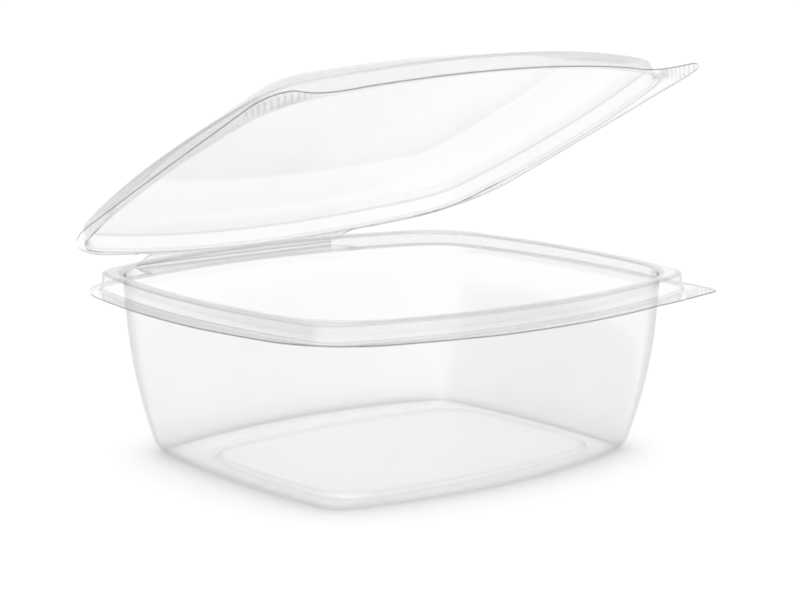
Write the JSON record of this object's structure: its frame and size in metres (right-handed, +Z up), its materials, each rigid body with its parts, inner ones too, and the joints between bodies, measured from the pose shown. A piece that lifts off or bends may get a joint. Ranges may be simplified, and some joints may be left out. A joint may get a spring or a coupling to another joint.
{
  "type": "hinged clear takeaway container",
  "caption": "Clear hinged takeaway container: bowed tub with a rim bead and flange, and a shallow domed lid standing part open on a folding web.",
  "frame": {"origin": "on the surface the tub stands on, midway between the front edge of the flange and the fold of the hinge, and midway along the hinge", "axes": "+X along the hinge, -Y towards the opening side, +Z up"},
  "size_m": [0.1848, 0.1746, 0.138],
  "materials": {
    "clear_tub": "clear thermoformed sheet, glossy, with soft grey edges where it is seen end on",
    "clear_lid": "the same clear sheet as the tub, with a slight haze"
  },
  "bodies": {
    "tub": {"tub": "clear_tub"},
    "lid": {"lid": "clear_lid"}
  },
  "joints": [
    {"name": "lid_hinge", "type": "hinge", "parent": "tub", "child": "lid", "pos_m": [0, 0.08725, 0.0559], "axis": [-1, 0, 0], "range_deg": [-26.6, 153.4]}
  ]
}
